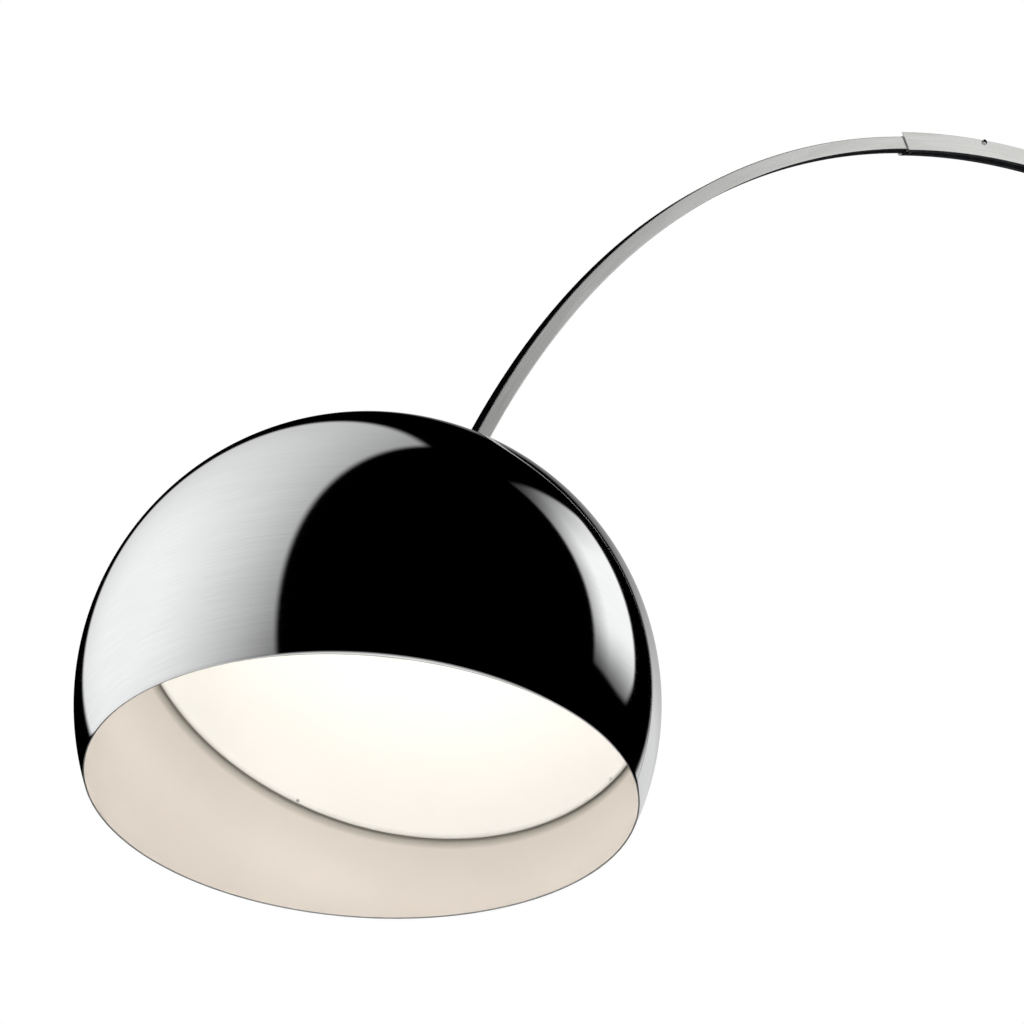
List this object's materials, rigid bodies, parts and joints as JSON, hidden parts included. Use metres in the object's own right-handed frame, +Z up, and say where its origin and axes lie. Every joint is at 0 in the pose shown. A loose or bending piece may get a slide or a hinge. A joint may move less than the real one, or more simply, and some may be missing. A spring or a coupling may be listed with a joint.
{
  "type": "arc floor lamp",
  "caption": "Floor lamp whose telescopic steel arc rises from an upright stone block and carries a tilting, turning dome shade far out over the floor.",
  "frame": {"origin": "on the floor under the post, on the underside of the base pad", "axes": "+Z up; the arc lies in the plane Y = 0 and reaches towards -X"},
  "size_m": [2.6008, 0.32, 2.408],
  "materials": {
    "satin_steel": "satin, fine brushed along the arc",
    "polished_shade": "mirror polished outside, cream lacquer inside",
    "marble": "honed white stone with soft grey veins",
    "felt": "dense black felt",
    "zinc_steel": "bright zinc plated",
    "screw_chrome": "polished",
    "brass": "plain turned",
    "black_plastic": "moulded, matt",
    "cable_sheath": "soft sheath",
    "holder_plastic": "white moulded",
    "holder_ceramic": "unglazed",
    "bulb_opal": "opal with a silvered crown, lit"
  },
  "bodies": {
    "base": {"base_pad": "felt", "base_block": "marble", "stone_anchors": "brass", "socket_plate": "satin_steel", "plate_screws": "zinc_steel", "tie_rod": "zinc_steel", "tie_washer": "zinc_steel", "tie_nut": "zinc_steel", "post_screws": "zinc_steel", "post": "satin_steel", "lower_section": "satin_steel", "cable_gland": "black_plastic", "post_cable": "cable_sheath", "cable_clips": "black_plastic", "lower_wedge": "brass"},
    "lower_lock": {"lower_lock_screw": "screw_chrome"},
    "middle_arm": {"middle_section": "satin_steel", "middle_shoe": "black_plastic", "middle_wedge": "brass"},
    "middle_lock": {"middle_lock_screw": "screw_chrome"},
    "end_arm": {"end_section": "satin_steel", "end_shoe": "black_plastic", "arm_tip": "satin_steel", "tip_rivets": "zinc_steel", "hollow_nipple": "brass", "collar": "polished_shade", "cap": "polished_shade", "cap_washer": "zinc_steel", "lock_nut": "brass", "arm_cable": "cable_sheath", "holder_cover": "holder_plastic", "holder_core": "holder_ceramic", "holder_shell": "brass", "holder_contact": "brass", "holder_ring": "holder_plastic", "bulb_glass": "bulb_opal", "bulb_base": "zinc_steel", "bulb_contact": "brass"},
    "swivel_ring": {"friction_ring": "black_plastic"},
    "shade": {"dome": "polished_shade"}
  },
  "joints": [
    {"name": "middle_slide", "type": "hinge", "parent": "base", "child": "middle_arm", "pos_m": [-1.2, 0, 1.2], "axis": [0, -1, 0], "range_deg": [-24, 14]},
    {"name": "end_slide", "type": "hinge", "parent": "middle_arm", "child": "end_arm", "pos_m": [-1.2, 0, 1.2], "axis": [0, -1, 0], "range_deg": [-20, 10.5]},
    {"name": "shade_turn", "type": "hinge", "parent": "end_arm", "child": "swivel_ring", "pos_m": [-2.37082, 0, 1.48878], "axis": [0.3343, 0, 0.9425], "continuous": true},
    {"name": "shade_tilt", "type": "hinge", "parent": "swivel_ring", "child": "shade", "pos_m": [-2.37082, 0, 1.48878], "axis": [-0.1798, 0.9816, 0.0638], "range_deg": [-4, 44.6]},
    {"name": "lower_lock_turn", "type": "hinge", "parent": "base", "child": "lower_lock", "pos_m": [-0.55869, 0, 2.22631], "axis": [0, -1, 0], "range_deg": [0, 360]},
    {"name": "middle_lock_turn", "type": "hinge", "parent": "middle_arm", "child": "middle_lock", "pos_m": [-1.73349, 0, 2.28181], "axis": [0, -1, 0], "range_deg": [0, 360]}
  ]
}
